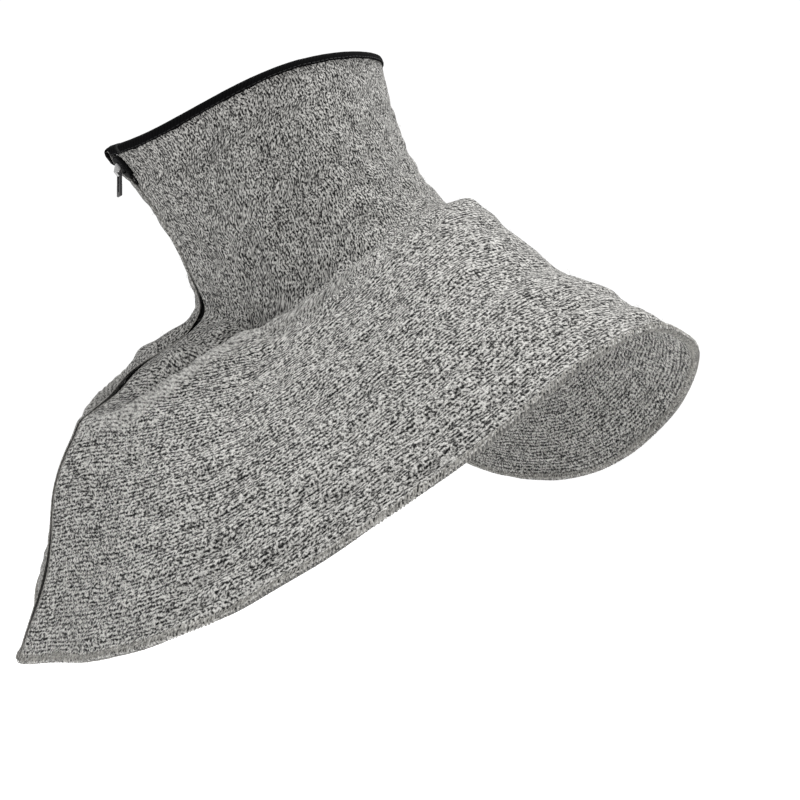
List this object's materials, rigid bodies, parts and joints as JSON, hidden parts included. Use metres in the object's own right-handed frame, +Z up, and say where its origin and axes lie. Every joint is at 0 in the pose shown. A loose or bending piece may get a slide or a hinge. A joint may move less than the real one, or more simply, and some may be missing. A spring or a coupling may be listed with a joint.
{
  "type": "neck guard",
  "caption": "Knitted neck guard: a stand-up collar that flares into a round yoke over shoulders and chest, with a black rim binding and a front zip with a hanging pull.",
  "frame": {"origin": "the neck seat: on the neck's axis, level with the collar's foot at the front", "axes": "+Z up, -Y out of the chest to the front, +X to the wearer's left"},
  "size_m": [0.4, 0.2943, 0.3015],
  "materials": {
    "heather_knit": "heather grey knit of light yarn with dark flecks",
    "black_binding": "black folded binding",
    "zip_tape": "black woven tape",
    "zip_teeth": "black teeth",
    "slider_black": "black paint",
    "crown_metal": "bright metal",
    "pull_metal": "dark grey metal",
    "stop_metal": "dark metal"
  },
  "bodies": {
    "guard": {"knit_body": "heather_knit", "collar_binding": "black_binding", "zip_tape_left": "zip_tape", "zip_tape_right": "zip_tape", "zip_chain": "zip_teeth", "zip_slider": "slider_black", "slider_crown": "crown_metal", "bottom_stop": "stop_metal"},
    "pull": {"pull_tab": "pull_metal"}
  },
  "joints": [
    {"name": "pull_swing", "type": "hinge", "parent": "guard", "child": "pull", "pos_m": [0, -0.10866, 0.06007], "axis": [-1, 0, 0], "range_deg": [-15, 120]}
  ]
}
